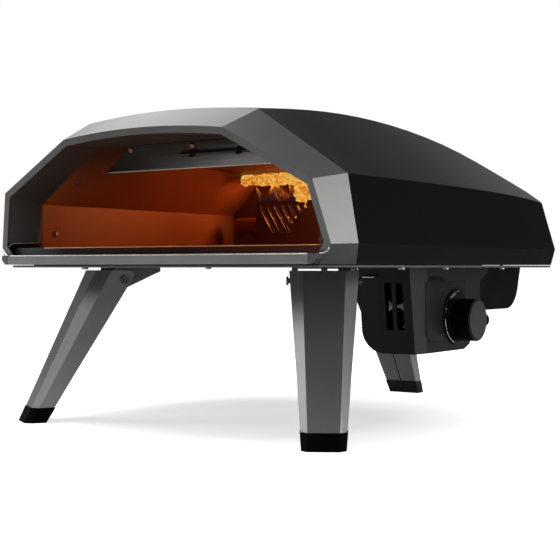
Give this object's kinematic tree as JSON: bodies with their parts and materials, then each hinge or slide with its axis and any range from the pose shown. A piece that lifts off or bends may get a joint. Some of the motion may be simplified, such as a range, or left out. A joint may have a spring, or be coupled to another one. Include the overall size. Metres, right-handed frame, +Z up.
{
  "type": "portable pizza oven",
  "caption": "Gas-fired portable pizza oven with a faceted visor, a curved sheet hood, a baking stone, a rear burner, a side knob and folding splayed legs.",
  "frame": {"origin": "on the ground, under the middle of the oven's overall box with the legs unfolded", "axes": "+X the oven's right seen from its mouth, +Y to the rear, +Z up"},
  "size_m": [0.5, 0.6386, 0.3806],
  "materials": {
    "visor_grey": "satin",
    "shell_black": "satin",
    "sill_grey": "satin",
    "tray_grey": "satin",
    "lining_dark": "heat-proof matt",
    "liner_steel": "heat-tinted",
    "baffle_steel": "polished",
    "screw_steel": "bright",
    "rail_steel": "polished",
    "stone": "matt",
    "blanket": "ceramic-fibre felt",
    "board": "pressed ceramic-fibre felt",
    "housing_black": "fine texture",
    "knob_black": "fine texture",
    "bezel_black": "gloss",
    "valve_brass": "cast",
    "leg_grey": "satin",
    "cap_black": "matt",
    "electrode_white": "smooth"
  },
  "bodies": {
    "oven": {"front_visor": "visor_grey", "rear_shell": "shell_black", "front_sill": "sill_grey", "mouth_rail": "rail_steel", "visor_lining": "lining_dark", "base_tray": "tray_grey", "tray_screws": "screw_steel", "inner_liner": "liner_steel", "liner_screws": "screw_steel", "insulation_board": "board", "insulation_blanket": "blanket", "burner_tube": "liner_steel", "burner_brackets": "liner_steel", "burner_guard": "liner_steel", "spark_electrode": "electrode_white", "flame_sensor": "electrode_white", "heat_baffle": "baffle_steel", "baffle_screws": "screw_steel", "baffle_rod": "shell_black", "rod_brackets": "shell_black", "control_housing": "housing_black", "air_shutter": "baffle_steel", "rear_housing": "housing_black", "housing_screws": "screw_steel", "gas_valve": "valve_brass", "dial_bezel": "bezel_black", "feed_pipe": "baffle_steel", "gas_inlet": "valve_brass", "inlet_cap": "cap_black", "ignition_module": "housing_black", "leg_pivot_pins": "screw_steel", "bracket_screws": "screw_steel", "front_left_leg_bracket": "tray_grey", "front_right_leg_bracket": "tray_grey", "rear_leg_bracket": "tray_grey"},
    "baking_stone": {"baking_stone": "stone"},
    "valve_plunger": {"valve_plunger": "screw_steel"},
    "knob": {"gas_knob": "knob_black", "valve_stem": "screw_steel"},
    "front_left_leg": {"front_left_leg": "leg_grey", "front_left_foot_cap": "cap_black"},
    "front_right_leg": {"front_right_leg": "leg_grey", "front_right_foot_cap": "cap_black"},
    "rear_leg": {"rear_leg": "leg_grey", "rear_foot_cap": "cap_black"}
  },
  "joints": [
    {"name": "front_left_fold", "type": "hinge", "parent": "oven", "child": "front_left_leg", "pos_m": [-0.15652, -0.18285, 0.175], "axis": [0.848, -0.5299, 0], "range_deg": [0, 116]},
    {"name": "front_right_fold", "type": "hinge", "parent": "oven", "child": "front_right_leg", "pos_m": [0.15652, -0.18285, 0.175], "axis": [0.848, 0.5299, 0], "range_deg": [0, 116]},
    {"name": "rear_fold", "type": "hinge", "parent": "oven", "child": "rear_leg", "pos_m": [0, 0.20211, 0.175], "axis": [-1, 0, 0], "range_deg": [0, 115]},
    {"name": "stone_slide", "type": "slide", "parent": "oven", "child": "baking_stone", "axis": [0, -0.891, 0.454], "range_m": [0, 0.11]},
    {"name": "knob_push", "type": "slide", "parent": "oven", "child": "valve_plunger", "axis": [-1, 0, 0], "range_m": [0, 0.003], "stiffness_N_per_m": 900, "springref_m": -0.0015},
    {"name": "knob_turn", "type": "hinge", "parent": "valve_plunger", "child": "knob", "pos_m": [0.221, 0.031, 0.1253], "axis": [-1, 0, 0], "range_deg": [0, 210]}
  ]
}
